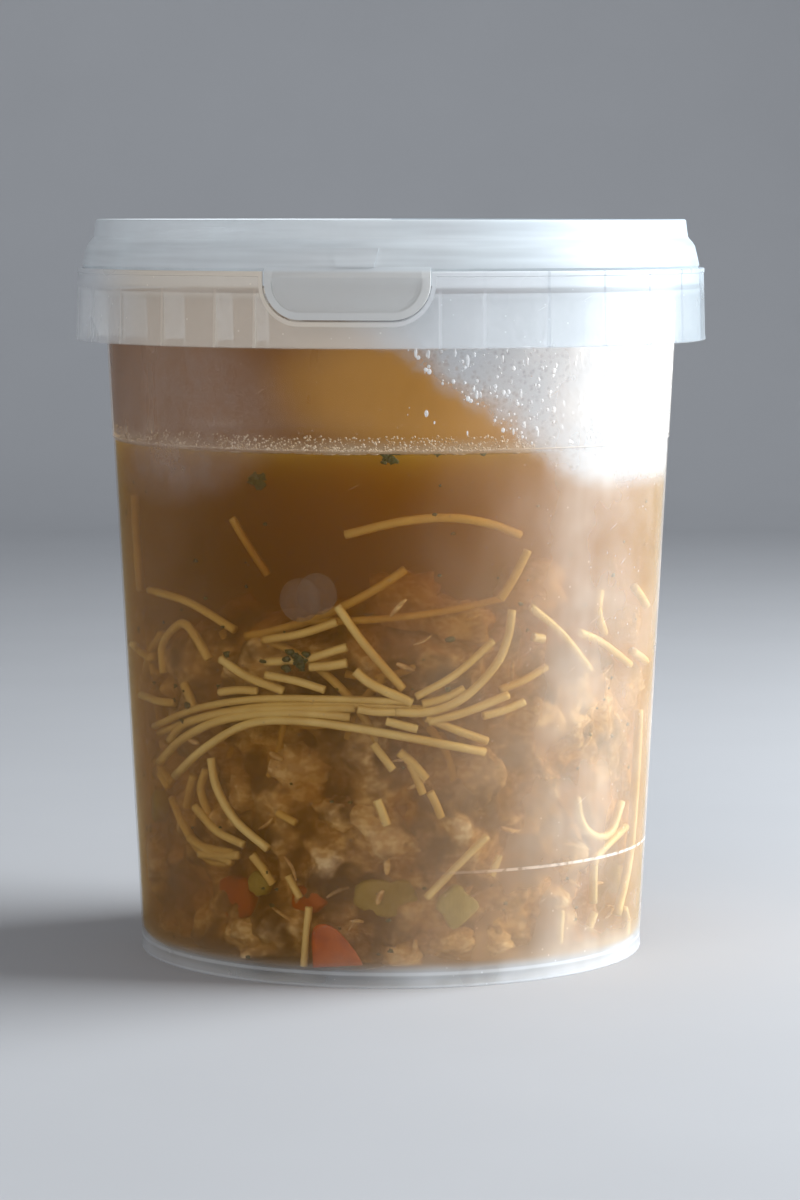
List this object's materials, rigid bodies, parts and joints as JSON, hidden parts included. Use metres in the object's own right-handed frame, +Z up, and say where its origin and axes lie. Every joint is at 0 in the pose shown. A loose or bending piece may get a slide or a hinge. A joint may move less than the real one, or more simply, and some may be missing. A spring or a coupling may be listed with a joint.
{
  "type": "chicken noodle soup in a lidded plastic tub",
  "caption": "Round clear plastic deli tub filled most of the way with amber chicken noodle soup, with a deep tamper collar and a snap-in lid that has a pull tab.",
  "frame": {"origin": "centre of the tub's foot, on the surface it stands on", "axes": "+Z up along the tub's axis, -Y towards the front, +X to the right seen from the front; the pull tab is 7.65 degrees to the left of -Y"},
  "size_m": [0.1182, 0.1182, 0.1374],
  "materials": {
    "clear_plastic": "clear natural polypropylene, glossy, with fine scuffs",
    "lid_plastic": "milky natural polypropylene, glossy",
    "broth": "translucent amber chicken broth with floating fat",
    "noodle": "cooked thin egg noodles, wet",
    "chicken": "cooked pulled chicken, wet",
    "carrot": "cooked diced carrot, wet",
    "celery": "cooked diced celery, wet",
    "herb": "chopped parsley flecks, wet",
    "fat": "droplets and foam of chicken fat on the surface",
    "condensation": "water drops and fog on the inside of the wall"
  },
  "bodies": {
    "root": {"tub": "clear_plastic", "lid": "lid_plastic", "soup": "broth"}
  },
  "joints": []
}
